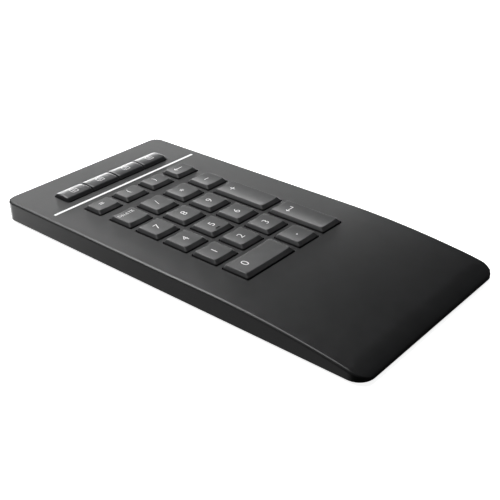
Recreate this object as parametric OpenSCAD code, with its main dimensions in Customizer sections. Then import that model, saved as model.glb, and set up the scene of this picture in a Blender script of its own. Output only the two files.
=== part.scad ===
// Slim desktop numeric keypad with a palm rest, four function keys and a sliding power switch.
// Millimetres. +Z is up and +Y points to the back. The origin lies under the middle of the
// keypad, on the surface that its rubber feet stand on.

/* [Body] */
// Width of the housing
body_w = 112.4; // [108:0.2:120]
// Length of the housing, from the front edge of the palm rest to the back
body_l = 227.8; // [220:0.2:240]
// Height of the flat deck above the lower edge of the housing
body_h = 10.6; // [10.2:0.1:12]
// Plan radius of the two back corners
back_corner_r = 6.5; // [3:0.5:9]
// Plan radius of the two front corners
front_corner_r = 8; // [5:0.5:9]
// Thickness of the housing's side walls
wall_t = 1.8; // [1.5:0.1:2]
// Thickness of the deck
deck_t = 1.6; // [1.4:0.1:1.8]
// Thickness of the bottom cover
floor_t = 1.4; // [1.2:0.1:1.5]
// How far the feet stand out under the housing
foot_stand = 1.6; // [1.2:0.1:1.8]

/* [Palm rest] */
// Where the flat deck ends and the palm rest begins to fall
palm_start_y = -28.5; // [-36:0.5:-24]
// Radius of the palm rest's long downward curve
palm_r = 525; // [480:5:600]
// Length of the rolled front edge
nose_len = 11; // [6:0.5:12]
// Height of the upright strip below the rolled front edge
nose_strip_h = 1.1; // [1:0.1:1.4]

/* [Keys] */
// Distance between key centres
pitch = 19; // [18.8:0.1:19.2]
// Half the width of a single key at its skirt
key_half = 7.6; // [7.3:0.1:7.7]
// Half the depth of the keys in the short back row
short_key_half = 6; // [5.6:0.1:6.1]
// Clearance between a key's skirt and its opening in the deck
key_gap = 0.6; // [0.3:0.05:0.7]
// Height of a key's top above the deck
key_stand = 2; // [1.8:0.1:2.4]
// Travel of a numeric key
key_travel = 2; // [1.6:0.1:2]
// Depth of the hollow across a key's top
dish_depth = 0.35; // [0.1:0.05:0.45]
// Y of the first full row of keys
first_row_y = 45.4; // [44:0.1:47]
// Y of the short back row of keys
short_row_y = 66.1; // [65:0.1:68]

/* [Function keys] */
// Y of the row of function keys
function_y = 90.15; // [89:0.05:92]
// Half the depth of a function key
function_half = 5.65; // [5:0.05:6]
// Height of a function key's crest above the deck
function_stand = 2.2; // [1.8:0.1:2.4]
// Half the length of the whole row of function keys
function_row_half = 36.5; // [36:0.1:37.4]
// Gap between two function keys
function_gap = 0.5; // [0.4:0.1:0.8]

/* [Accent strip] */
// Y of the white strip
accent_y = 78.4; // [77.6:0.1:80]
// Length of the white strip
accent_l = 102; // [90:1:104]
// Width of the white strip
accent_w = 1.6; // [1:0.1:2]

/* [Hidden] */
base_z = foot_stand;                      // lower edge of the housing
deck_z = base_z + body_h;                 // flat top of the deck
floor_z = base_z + floor_t;               // inner face of the bottom cover
ceiling_z = deck_z - deck_t;              // underside of the flat deck
nose_tip_z = base_z + nose_strip_h;
nose_start_y = nose_len - body_l / 2;
corner_steps = 8;                         // straight steps round each rounded corner
fit_gap = 0.15;                           // clearance between mating housing parts
round_fn = 48;
bond = 0.2;                               // how far a rib or post runs into the wall it grows from

// stack of layers under the keys
plate_z = floor_z + 0.4;                  // steel back plate
plate_t = 0.6;
film_t = 0.15;                            // each of the three membrane films
film_z = plate_z + plate_t;
dome_z = film_z + 3 * film_t;             // rubber dome sheet
dome_base_t = 0.3;
frame_z = 7.6;                            // underside of the key frame's plate
frame_t = 1;
stack_half_x = 41;                        // half the width of the plate and the films
stack_front_y = -41;
stack_back_y = 98;

// key guides and plungers
sleeve_top_z = 10.4;
sleeve_r = 3.3;
guide_r = 2.5;                            // bore of a guide sleeve
plunger_r = 2.42;
plunger_z = 7;                            // lower end of a plunger at rest, on top of its dome
skirt_z = deck_z - 1.2;                   // lower edge of a key's skirt at rest
key_top_z = deck_z + key_stand;
cap_ceiling_z = key_top_z - 1.4;          // underside of a key's top
crown_r = 22;                             // radius of a function key's crown, seen from its end
function_lean = 1.1;                      // how far a function key's front face leans back
function_corner_r = 1.2;
key_wall = 1;
key_corner_r = 1;
side_lean = 1.05;                         // how far each flank leans in from the skirt to the top
front_lean = 1.9;
back_lean = 0.9;
lean_z = deck_z + 0.15;                   // where the flanks start to lean
rib_w = 0.8;                              // rib that stops a plunger from turning
rib_reach = 2.95;
slot_w = 1;
slot_reach = 3.05;

// stabiliser wires of the long keys
wire_r = 0.4;
wire_z = frame_z + frame_t + 0.7;         // axis of the wire's long bar
wire_arm = 6;
wire_half = 12;                           // half the length of the long bar
wire_tip = 1.6;
wire_offset = -4.4;                       // from the key's centre to the bar
clip_at = 7;                              // from the middle of the bar to each clip
clip_half = 1;                            // half the width of a clip
clip_rise = 0.9;                          // how far a clip's lips reach above the bar's axis
wire_clear = 0.05;                        // play of the bar in its clips
wire_rest_a = asin(key_travel / wire_arm);
wire_tip_y = wire_arm * cos(wire_rest_a);
hook_x = wire_half + wire_r + 0.6;
hook_half = 0.5;                          // half the thickness of a wire hook
hook_back_y = wire_tip_y - 1.2;           // the two edges of a hook, from the bar
hook_front_y = wire_arm + 1.3;
hook_clear = 0.4;

// bosses and openings of the top case
case_boss_r = 2.4;
frame_boss_r = 1.9;
board_boss_r = 2;
boss_sink = 0.8;                          // from the deck's surface down to a boss's root
opening_r = 1.2;                          // corner radius of a key's opening
function_opening_r = 1.6;
groove_depth = 0.4;                       // groove that the white strip lies in
groove_r = 0.6;
accent_stand = 0.03;                      // how far the white strip stands proud
strip_clear = 0.05;
port_clear = 0.25;                        // clearance round the charging socket
port_wall = 3;                            // depth of the cut through the back wall
switch_slot_half = 4;                     // half the length of the power switch's slot
cut = 1;                                  // how far a cut runs past the surface it opens

// bottom cover
bottom_boss_r = 3.6;
locating_rib_h = 2.6;
locating_rib = [-78, 96];                 // Y of the two ends of each locating rib
rail_x = [-32, -11, 11, 32];
rail_t = 1.4;
fence_h = 2;
label_half = [27, 16];
label_y = 20;
label_depth = 0.25;

// heat stakes of the key frame
stake_pin_r = 0.8;
stake_head_r = 1.4;
stake_head_t = 0.3;

// electronics
board_z = 4.4;
board_t = 0.8;
board_front_y = 99.6;
board_back_y = 110.4;
board_half_x = 44;
port_z = board_z + board_t;
port_w = 8.94;
port_h = 3.2;
port_mouth_y = body_l / 2 - 0.5;
port_depth = 7.35;
switch_x = 28.5;
switch_travel = 2;
knob_half = 1.4;
knob_z = port_z + 1;
knob_h = 1.7;
battery_size = [34, 40, 3.4];
battery_front_y = -88;
tape_t = 0.3;
lead_r = 0.5;

// fasteners
screw_r = 1;
screw_head_r = 1.9;
screw_head_t = 1.2;
pilot_r = 1.05;
pilot_spare = 0.1;                        // depth of a pilot hole past its screw's tip
pad_top_z = 4.4;                          // bottom cover's screw pads
pad_seat_z = 3;                           // where a case screw's head seats
screw_l = 3.8;
CASE_SCREWS = [[48.5, 86], [48.5, 8], [45, -84], [-48.5, 86], [-48.5, 8], [-45, -84]];
FRAME_SCREWS = [[39, 77], [39, 17.5], [39, -36], [0, 77], [-39, 77], [-39, 17.5], [-39, -36]];
BOARD_SCREWS = [[40, 105], [-40, 105]];
STAKES = [
    [-pitch, first_row_y + 10.8], [pitch, first_row_y + 10.8], [0, first_row_y - pitch / 2],
    [-pitch, first_row_y - 1.5 * pitch], [pitch, first_row_y - 1.5 * pitch], [0, first_row_y - 2.5 * pitch],
    [-pitch, first_row_y - 3.5 * pitch], [pitch, first_row_y - 3.5 * pitch]
];
stake_r = 1.6;
FEET = [
    ["foot_back_left", -38, 101.5], ["foot_back_right", 38, 101.5],
    ["foot_front_left", -38, -97], ["foot_front_right", 38, -97]
];
foot_half = [11, 4.5];
foot_sink = 0.5;
foot_r = 2;
foot_edge = 0.3;                          // step round a foot's lower edge
foot_clear = 0.1;

// name, column, row, columns wide, rows tall
KEYS = [
    ["key_equals", 0, 0, 1, 1], ["key_paren_open", 1, 0, 1, 1],
    ["key_paren_close", 2, 0, 1, 1], ["key_backspace", 3, 0, 1, 1],
    ["key_delete", 0, 1, 1, 1], ["key_divide", 1, 1, 1, 1],
    ["key_multiply", 2, 1, 1, 1], ["key_minus", 3, 1, 1, 1],
    ["key_7", 0, 2, 1, 1], ["key_8", 1, 2, 1, 1], ["key_9", 2, 2, 1, 1], ["key_plus", 3, 2, 1, 2],
    ["key_4", 0, 3, 1, 1], ["key_5", 1, 3, 1, 1], ["key_6", 2, 3, 1, 1],
    ["key_1", 0, 4, 1, 1], ["key_2", 1, 4, 1, 1], ["key_3", 2, 4, 1, 1], ["key_enter", 3, 4, 1, 2],
    ["key_0", 0, 5, 2, 1], ["key_decimal", 2, 5, 1, 1]
];
FUNCTION_KEYS = ["function_key_1", "function_key_2", "function_key_3", "function_key_4"];
WIRES = [["stabiliser_plus", "key_plus"], ["stabiliser_enter", "key_enter"], ["stabiliser_0", "key_0"]];

// ---- where each key is ----
function named(name) = [for (key = KEYS) if (key[0] == name) key][0];
function row_y(row) = row == 0 ? short_row_y : first_row_y - (row - 1) * pitch;
function key_x(key) = (key[1] + (key[3] - 1) / 2 - 1.5) * pitch;
function key_y(key) = row_y(key[2]) - (key[4] - 1) / 2 * pitch;
function key_half_x(key) = key_half + (key[3] - 1) / 2 * pitch;
function key_half_y(key) = key[2] == 0 ? short_key_half : key_half + (key[4] - 1) / 2 * pitch;
// the low and high X of one function key
function function_low(i) = i == 0 ? -function_row_half : (i - 2) * pitch + function_gap / 2;
function function_high(i) = i == 3 ? function_row_half : (i - 1) * pitch - function_gap / 2;
function function_x(i) = (i - 1.5) * pitch;
// the centre of every plunger
PLUNGERS = concat(
    [for (key = KEYS) [key_x(key), key_y(key)]],
    [for (i = [0 : 3]) [function_x(i), function_y]]
);

// ---- outlines ----
function arc(x, y, r, a0, a1, steps = corner_steps) =
    [for (i = [0 : steps]) let (a = a0 + (a1 - a0) * i / steps) [x + r * cos(a), y + r * sin(a)]];
function rounded(half_x, half_y, r) = concat(
    arc(half_x - r, half_y - r, r, 0, 90), arc(r - half_x, half_y - r, r, 90, 180),
    arc(r - half_x, r - half_y, r, 180, 270), arc(half_x - r, r - half_y, r, 270, 360));
// the housing's plan, moved in by inset all round
function plan(inset) =
    let (x = body_w / 2 - inset, y = body_l / 2 - inset,
         rb = back_corner_r - inset, rf = front_corner_r - inset)
    concat(arc(x - rb, y - rb, rb, 0, 90), arc(rb - x, y - rb, rb, 90, 180),
           arc(rf - x, rf - y, rf, 180, 270), arc(x - rf, rf - y, rf, 270, 360));
// height of the deck at y, moved down by sink and back from the front edge by set_back
function palm_drop(y) = y > palm_start_y ? 0 : palm_r - sqrt(pow(palm_r, 2) - pow(palm_start_y - y, 2));
function deck_at(y, sink = 0, set_back = 0) =
    let (z = deck_z - palm_drop(y) - sink, reach = (nose_start_y - y) / (nose_len - set_back))
    reach <= 0 ? z : nose_tip_z + (z - nose_tip_z) * sqrt(max(0, 1 - pow(reach, 2)));
function side_outline(sink, set_back, bottom) =
    let (front = set_back - body_l / 2, palm_steps = 12, nose_steps = 10, nose = nose_start_y - front)
    concat(
        [[body_l, bottom], [body_l, deck_z - sink]],
        [for (i = [0 : palm_steps])
            let (y = palm_start_y + (nose_start_y - palm_start_y) * i / palm_steps)
            [y, deck_at(y, sink, set_back)]],
        [for (i = [1 : nose_steps])
            let (y = nose_start_y - nose * sin(90 * i / nose_steps))
            [y, deck_at(y, sink, set_back)]],
        [[front, bottom]]);

// ---- building blocks ----
module slab(points, low, high) translate([0, 0, low]) linear_extrude(high - low) polygon(points);
module along_x(points, low, high)
    translate([low, 0, 0]) rotate([90, 0, 90]) linear_extrude(high - low) polygon(points);
module along_y(points, low, high)
    translate([0, high, 0]) rotate([90, 0, 0]) linear_extrude(high - low) polygon(points);
module box(low, high) translate(low) cube(high - low);
module post(at, r, low, high)
    translate([at[0], at[1], low]) cylinder(r = r, h = high - low, $fn = round_fn);
module rod(from, to, r) {
    d = to - from;
    translate(from) rotate([0, acos(d[2] / norm(d)), atan2(d[1], d[0])])
        cylinder(r = r, h = norm(d), $fn = round_fn);
}
// a screw with its head's lower face at z, pointing up
module screw(at, z) {
    post(at, screw_head_r, z - screw_head_t, z);
    post(at, screw_r, z - bond, z + screw_l);
}

// ---- housing ----
module housing_solid(inset, sink, low) intersection() {
    slab(plan(inset), low, deck_z + 1);
    along_x(side_outline(sink, inset, low - 1), -body_w, body_w);
}

module opening(half_x, half_y, r, low) slab(rounded(half_x, half_y, r), low, deck_z + cut);

module top_case() color("#26282b") difference() {
    union() {
        difference() {
            housing_solid(0, 0, base_z);
            housing_solid(wall_t, deck_t, base_z - 1);
            slab(plan(wall_t), base_z - 1, floor_z + 0.1);
        }
        for (at = CASE_SCREWS) post(at, case_boss_r, pad_top_z, deck_at(at[1]) - boss_sink);
        for (at = FRAME_SCREWS) post(at, frame_boss_r, frame_z + frame_t, deck_z - boss_sink);
        for (at = BOARD_SCREWS) post(at, board_boss_r, port_z, deck_z - boss_sink);
    }
    for (at = CASE_SCREWS) post(at, pilot_r, 0, pad_seat_z + screw_l + pilot_spare);
    for (at = FRAME_SCREWS) post(at, pilot_r, 0, frame_z + screw_l + pilot_spare);
    for (at = BOARD_SCREWS) post(at, pilot_r, 0, board_z + screw_l + pilot_spare);
    for (key = KEYS) translate([key_x(key), key_y(key)])
        opening(key_half_x(key) + key_gap, key_half_y(key) + key_gap, opening_r, ceiling_z - cut);
    translate([0, function_y])
        opening(function_row_half + key_gap, function_half + key_gap, function_opening_r, ceiling_z - cut);
    translate([0, accent_y]) opening(accent_l / 2, accent_w / 2, groove_r, deck_z - groove_depth);
    port_shape(port_clear, body_l / 2 - port_wall, body_l / 2 + cut);
    box([switch_x - switch_slot_half, body_l / 2 - port_wall, knob_z - fit_gap],
        [switch_x + switch_slot_half, body_l / 2 + cut, knob_z + knob_h + fit_gap]);
}

// an upright rib on the bottom cover, t thick, centred on x, between two places along Y
module rib(x, t, ends, top) box([x - t / 2, ends[0], floor_z - bond], [x + t / 2, ends[1], top]);

module bottom_case() color("#222427") difference() {
    union() {
        slab(plan(wall_t + fit_gap), base_z, floor_z);
        for (at = CASE_SCREWS) post(at, bottom_boss_r, floor_z - bond, pad_top_z);
        // ribs that locate the cover inside the side walls
        for (side = [-1, 1])
            rib(side * (body_w / 2 - wall_t - 1), 1, locating_rib, floor_z + locating_rib_h);
        // rails under the steel plate
        for (x = rail_x) rib(x, rail_t, [stack_front_y + 2, stack_back_y - 2], plate_z);
        // fence round the battery
        for (side = [-1, 1])
            rib(side * (battery_size[0] / 2 + 1), 1,
                [battery_front_y + 4, battery_front_y + 34], floor_z + fence_h);
        rib(0, 24, [battery_front_y - 1.5, battery_front_y - 0.5], floor_z + fence_h);
    }
    for (at = CASE_SCREWS) {
        post(at, screw_head_r + 2 * fit_gap, base_z - cut, pad_seat_z);
        post(at, screw_r + fit_gap, base_z - cut, pad_top_z + cut);
    }
    for (foot = FEET) translate([foot[1], foot[2]])
        slab(rounded(foot_half[0] + foot_clear, foot_half[1] + foot_clear, foot_r + foot_clear),
             base_z - cut, base_z + foot_sink);
    // shallow blank field for a rating label
    translate([0, label_y])
        slab(rounded(label_half[0], label_half[1], 2), base_z - cut, base_z + label_depth);
}

module foot(at) color("#17181a") translate([at[1], at[2]]) {
    slab(rounded(foot_half[0], foot_half[1], foot_r), foot_edge, base_z + foot_sink);
    slab(rounded(foot_half[0] - foot_edge, foot_half[1] - foot_edge, foot_r - foot_edge), 0, foot_edge);
}

module accent_strip() color("#f2f2f2") translate([0, accent_y])
    slab(rounded(accent_l / 2 - strip_clear, accent_w / 2 - strip_clear, groove_r - strip_clear),
         deck_z - groove_depth, deck_z + accent_stand);

// ---- key frame and the layers under it ----
module key_frame() color("#3a3d42") difference() {
    union() {
        box([-stack_half_x - 0.5, stack_front_y, frame_z],
            [stack_half_x + 0.5, stack_back_y + 0.5, frame_z + frame_t]);
        for (at = PLUNGERS) post(at, sleeve_r, frame_z, sleeve_top_z);
        for (at = STAKES) {
            post(at, stake_r, film_z, frame_z + bond);
            post(at, stake_pin_r, plate_z - bond, film_z + bond);
            post(at, stake_head_r, plate_z - stake_head_t, plate_z);
        }
        for (wire = WIRES) at_wire(named(wire[1])) for (side = [-1, 1]) translate([side * clip_at, 0])
            box([-clip_half, -clip_half, frame_z + bond], [clip_half, clip_half, wire_z + clip_rise]);
    }
    for (at = PLUNGERS) {
        post(at, guide_r, frame_z - cut, sleeve_top_z + cut);
        translate(at)
            box([-slot_reach, -slot_w / 2, frame_z - cut], [slot_reach, slot_w / 2, sleeve_top_z + cut]);
    }
    for (at = FRAME_SCREWS) post(at, screw_r + fit_gap, frame_z - cut, frame_z + frame_t + cut);
    for (wire = WIRES) at_wire(named(wire[1])) {
        rod([-wire_half, 0, wire_z], [wire_half, 0, wire_z], wire_r + wire_clear);
        for (side = [-1, 1]) {
            // the snap-in slot over the bar, and the window that a wire hook dips into
            translate([side * clip_at, 0])
                box([-2, wire_clear - wire_r, wire_z], [2, wire_r - wire_clear, wire_z + 2]);
            translate([side * hook_x, 0]) box(
                [-hook_half - hook_clear, hook_back_y - hook_clear, frame_z - cut],
                [hook_half + hook_clear, hook_front_y + hook_clear, frame_z + frame_t + cut / 10]);
        }
    }
}

// places its children at the long bar of a key's wire, with +X along the bar and +Y along the arms
module at_wire(key) {
    if (key[3] > 1)
        translate([key_x(key), key_y(key) + wire_offset]) children();
    else
        translate([key_x(key) + wire_offset, key_y(key)]) rotate([0, 0, -90]) children();
}

module stabiliser(key) color("#b9bcc0") at_wire(key) {
    rod([-wire_half - wire_r, 0, wire_z], [wire_half + wire_r, 0, wire_z], wire_r);
    for (side = [-1, 1]) translate([side * wire_half, 0, wire_z]) rotate([wire_rest_a, 0, 0]) {
        rod([0, 0, 0], [0, wire_arm + wire_r, 0], wire_r);
        rod([-side * wire_r, wire_arm, 0], [side * wire_tip, wire_arm, 0], wire_r);
    }
}

module film(z, t) difference() {
    box([-stack_half_x, stack_front_y, z], [stack_half_x, stack_back_y, z + t]);
    for (at = STAKES) post(at, stake_r + 0.25, z - 1, z + t + 1);
}

module dome_sheet() color("#d8d5cc") {
    difference() {
        union() {
            film(dome_z, dome_base_t);
            for (at = PLUNGERS) {
                translate([at[0], at[1], dome_z + 0.1])
                    cylinder(r1 = 3.8, r2 = 2.2, h = plunger_z - 0.4 - dome_z - 0.1, $fn = round_fn);
                post(at, 2.1, plunger_z - 0.8, plunger_z);
            }
        }
        for (at = PLUNGERS) translate([at[0], at[1], dome_z - 0.1])
            cylinder(r1 = 3.35, r2 = 1.75, h = plunger_z - 1.2 - dome_z, $fn = round_fn);
    }
}

module tail(z, t) box([-10, stack_back_y - 1, z], [10, board_front_y + 2, z + t]);

module membrane_top() color("#c9d4c4") film(film_z + 2 * film_t, film_t);

module membrane_spacer() color("#dfe4dd") difference() {
    film(film_z + film_t, film_t);
    for (at = PLUNGERS) post(at, 2.6, film_z, film_z + 1);
}

module membrane_bottom() color("#c9d4c4") union() {
    film(film_z, film_t);
    tail(film_z, film_t);
}

module back_plate() color("#9da1a6") difference() {
    box([-stack_half_x, stack_front_y, plate_z], [stack_half_x, stack_back_y, film_z]);
    for (at = STAKES) post(at, 0.9, plate_z - 1, film_z + 1);
}

// ---- electronics ----
module port_shape(grow, low_y, high_y) {
    half_h = port_h / 2;
    translate([0, 0, port_z + half_h])
        along_y(rounded(port_w / 2 + grow, half_h + grow, half_h * 0.8 + grow), low_y, high_y);
}

module circuit_board() color("#1d4d33") difference() {
    box([-board_half_x, board_front_y, board_z], [board_half_x, board_back_y, board_z + board_t]);
    for (at = BOARD_SCREWS) post(at, screw_r + 0.2, board_z - 1, port_z + 1);
}

module controller_chip() color("#151618") box([6, 101.5, port_z], [13, 108.5, port_z + 0.9]);

module chip_antenna() color("#e6e3da") box([-24, 107.6, port_z], [-16, 109.6, port_z + 1]);

module usb_port() color("#aeb2b7") {
    difference() {
        port_shape(0, port_mouth_y - port_depth, port_mouth_y);
        port_shape(-0.3, port_mouth_y - port_depth + 1, port_mouth_y + 1);
    }
    box([-3.3, port_mouth_y - port_depth + 0.5, port_z + 1.25], [3.3, port_mouth_y - 0.8, port_z + 1.95]);
}

module power_switch_body() color("#c3c6ca") difference() {
    box([switch_x - 5, 105.2, port_z], [switch_x + 5, 109.4, port_z + 3.6]);
    box([switch_x - 3.6, 106.2, knob_z - 0.15], [switch_x + 3.6, 110, knob_z + knob_h + 0.15]);
}

// at rest the knob stands at its off stop
module power_switch_knob() color("#3c3f44") {
    x = switch_x - switch_travel / 2;
    tip_y = body_l / 2 - 0.4;
    box([x - knob_half, 106.4, knob_z], [x + knob_half, tip_y - 0.3, knob_z + knob_h]);
    for (ridge = [-0.8, 0, 0.8])
        box([x + ridge - 0.2, tip_y - 0.6, knob_z], [x + ridge + 0.2, tip_y, knob_z + knob_h]);
}

module membrane_connector() color("#e9e6dc") difference() {
    box([-11.5, board_front_y, 3], [11.5, board_front_y + 4, board_z]);
    box([-10.3, board_front_y - 1, film_z - 0.05], [10.3, board_front_y + 2.2, film_z + film_t + 0.05]);
}

module battery_tape() color("#d9c27a")
    box([-14, battery_front_y + 4, floor_z], [14, battery_front_y + 36, floor_z + tape_t]);

module battery() color("#b4b8bd") {
    low = [-battery_size[0] / 2, battery_front_y, floor_z + tape_t];
    box(low, low + battery_size);
    // the taped terminal end
    back_y = battery_front_y + battery_size[1];
    box([-13, back_y - 0.5, low[2] + 0.8], [13, back_y + 3, low[2] + 2.4]);
}

module battery_plug() color("#efece2") box([-36, 100.2, port_z], [-31.5, 104.6, port_z + 3.2]);

// two insulated leads from the battery's terminal end, round the key frame, to the plug
module battery_leads() {
    start_y = battery_front_y + battery_size[1] + 3;
    low_z = 4.4;
    high_z = 6.8;
    for (i = [0, 1]) color(i == 0 ? "#b3261e" : "#1b1b1d") {
        d = 1.2 * i;
        side_x = -42.9 - d;
        plug_y = 101.2 + d;
        route = [
            [-8 - d, start_y, low_z], [-8 - d, -42.9 - d, low_z], [side_x, -42.9 - d, low_z],
            [side_x, 97, low_z], [side_x, 97, high_z], [side_x, plug_y, high_z], [-36, plug_y, high_z]
        ];
        for (k = [0 : len(route) - 2]) rod(route[k], route[k + 1], lead_r);
        for (k = [1 : len(route) - 2]) translate(route[k]) sphere(r = lead_r * 1.15, $fn = 32);
    }
}

// ---- fasteners ----
module case_screws() color("#a4a8ad") for (at = CASE_SCREWS) screw(at, pad_seat_z);
module frame_screws() color("#a4a8ad") for (at = FRAME_SCREWS) screw([at[0], at[1]], frame_z);
module board_screws() color("#a4a8ad") for (at = BOARD_SCREWS) screw(at, board_z);

// ---- keys ----
// a plunger with its two ribs and its snap barbs, hanging from a cap whose underside is at ceiling
module plunger(ceiling) {
    post([0, 0], plunger_r, plunger_z, ceiling + bond);
    box([-rib_reach, -rib_w / 2, frame_z - 0.3], [rib_reach, rib_w / 2, ceiling + bond]);
    for (side = [-1, 1]) translate([0, side * (plunger_r + 0.1)])
        box([-0.7, -0.4, plunger_z], [0.7, 0.4, frame_z - 0.1]);
}

// a hook for one tip of a stabiliser wire, with the wire's bar as its origin
module wire_hook(side) {
    tip_z = wire_z + key_travel;
    translate([side * hook_x, 0]) difference() {
        box([-hook_half, hook_back_y, tip_z - 1], [hook_half, hook_front_y, cap_ceiling_z + bond]);
        box([-cut, wire_tip_y - 0.6, tip_z - 0.5], [cut, wire_arm + 0.7, tip_z + 0.5]);
    }
}

module keycap(key) {
    x = key_half_x(key);
    y = key_half_y(key);
    inner = x - key_wall;
    dish_half = x - side_lean;
    dish_r = (pow(dish_half, 2) + pow(dish_depth, 2)) / (2 * dish_depth);
    color("#3b3e42") translate([key_x(key), key_y(key)]) {
        difference() {
            intersection() {
                slab(rounded(x, y, key_corner_r), skirt_z, key_top_z + cut);
                along_y([[-x, skirt_z], [x, skirt_z], [x, lean_z], [x - side_lean, key_top_z],
                         [side_lean - x, key_top_z], [-x, lean_z]], -y, y);
                along_x([[-y, skirt_z], [y, skirt_z], [y, lean_z], [y - back_lean, key_top_z],
                         [front_lean - y, key_top_z], [-y, lean_z]], -x, x);
            }
            along_y([[-inner, skirt_z - cut], [inner, skirt_z - cut], [inner, lean_z - bond],
                     [inner - side_lean, cap_ceiling_z], [side_lean - inner, cap_ceiling_z],
                     [-inner, lean_z - bond]],
                    key_wall + front_lean / 2 - y, y - key_wall - back_lean / 2);
            translate([0, 0, key_top_z - dish_depth + dish_r]) rotate([90, 0, 0])
                cylinder(r = dish_r, h = 3 * y, center = true, $fn = 1440);
        }
        // the homing bar that a finger finds
        if (key[0] == "key_5") box([-1.6, -4.2, key_top_z - 0.6], [1.6, -3.7, key_top_z - 0.12]);
        plunger(cap_ceiling_z);
    }
    if (key[3] * key[4] > 1) color("#3b3e42") at_wire(key) for (side = [-1, 1]) wire_hook(side);
}

module function_key(i) {
    low = function_low(i);
    high = function_high(i);
    crest_z = deck_z + function_stand;
    y = function_half;
    crown = [for (k = [0 : 10]) let (at = function_lean - y + (2 * y - function_lean - 0.3) * k / 10)
        [at, crest_z - crown_r + sqrt(pow(crown_r, 2) - pow(at, 2))]];
    under_z = crest_z - 1.8;
    color("#2c2e32") translate([0, function_y]) {
        difference() {
            intersection() {
                along_x(concat([[y, skirt_z], [-y, skirt_z], [-y, deck_z + 0.2]],
                               crown, [[y, deck_z + 0.9]]), low, high);
                translate([(low + high) / 2, 0])
                    slab(rounded((high - low) / 2, y, function_corner_r), skirt_z, crest_z + cut);
            }
            box([low + key_wall, key_wall + 0.5 - y, skirt_z - cut],
                [high - key_wall, y - key_wall, under_z]);
        }
        translate([function_x(i), 0]) plunger(under_z);
    }
}

top_case();
bottom_case();
accent_strip();
key_frame();
dome_sheet();
membrane_top();
membrane_spacer();
membrane_bottom();
back_plate();
case_screws();
frame_screws();
board_screws();
circuit_board();
controller_chip();
chip_antenna();
usb_port();
power_switch_body();
power_switch_knob();
membrane_connector();
battery();
battery_tape();
battery_plug();
battery_leads();
for (at = FEET) foot(at);
for (wire = WIRES) stabiliser(named(wire[1]));
for (i = [0 : 3]) function_key(i);
for (key = KEYS) keycap(key);
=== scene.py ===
"""Looks of a slim numeric keypad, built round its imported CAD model.

The housing, the key caps and the function keys are meshes of their own, made here in millimetres from
the CAD model's boxes. Every other CAD part keeps its shape and gets a procedural material.
"""
import math

import bpy
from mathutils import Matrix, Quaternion, Vector
from mathutils.geometry import delaunay_2d_cdt


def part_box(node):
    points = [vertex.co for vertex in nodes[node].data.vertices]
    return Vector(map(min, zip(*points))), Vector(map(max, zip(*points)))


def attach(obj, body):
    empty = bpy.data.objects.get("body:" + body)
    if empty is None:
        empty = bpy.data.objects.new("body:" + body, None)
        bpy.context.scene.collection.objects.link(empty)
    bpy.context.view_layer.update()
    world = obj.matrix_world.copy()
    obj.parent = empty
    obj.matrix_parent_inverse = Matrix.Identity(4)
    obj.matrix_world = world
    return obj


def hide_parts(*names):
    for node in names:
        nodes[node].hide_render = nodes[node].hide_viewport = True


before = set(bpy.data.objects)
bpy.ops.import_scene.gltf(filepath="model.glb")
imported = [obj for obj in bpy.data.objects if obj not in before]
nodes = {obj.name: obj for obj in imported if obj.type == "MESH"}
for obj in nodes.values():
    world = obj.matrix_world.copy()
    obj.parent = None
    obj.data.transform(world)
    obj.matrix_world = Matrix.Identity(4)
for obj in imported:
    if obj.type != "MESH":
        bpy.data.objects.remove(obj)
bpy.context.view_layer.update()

MM = 0.001


def box_mm(node):
    """Lowest and highest corner of a CAD node, in millimetres."""
    low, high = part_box(node)
    return low / MM, high / MM


# ---- sizes that the boxes don't give, in millimetres ----
BACK_CORNER_R = 6.5
FRONT_CORNER_R = 8.0
WALL_T = 1.8
DECK_T = 1.6
EDGE_R = 1.15           # size of the softened upper edge of the housing
FRONT_EDGE_R = 0.3      # the same where the front rolls down by itself
LIP = 0.25              # chamfer round the housing's lower edge
SHELL_SHARP = 35        # degrees, above which an edge of the housing stays sharp
PALM_START_Y = -28.5
PALM_R = 525.0
PALM_SIDE = 5.9         # how far the extra points on the palm rest stay from its sides
PALM_FRONT = 4.6        # and from its front
NOSE_LEN = 11.0
NOSE_STRIP_H = 1.1
# the upper edge's section, as shares of its size: inwards and down
EDGE_PROFILE = ((0, 1), (0.04, 0.78), (0.15, 0.57), (0.57, 0.15), (0.78, 0.04), (1, 0))
DECK_RINGS = (0.5, 1.3, 2.3, 3.4)   # rows of points on the deck, this far inside the rounded edge
KEY_GAP = 0.6
OPENING_R = 1.2
FUNCTION_OPENING_R = 1.6
LEAD_IN = 0.12          # rounding round each opening
GROOVE_DEPTH = 0.42
GROOVE_R = 0.6
GROOVE_GAP = 0.05       # between the white line and its groove
GROOVE_EDGE = 0.08      # chamfer along the groove
PORT_GAP = 0.25         # round the charging socket
SLOT_HALF = 4.0         # half the length of the power switch's slot
SLOT_GAP = 0.15         # above and below the switch's knob
CUT_IN = 3.0            # how far the cuts in the back wall reach inwards and outwards
CUT_OUT = 1.0

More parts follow.
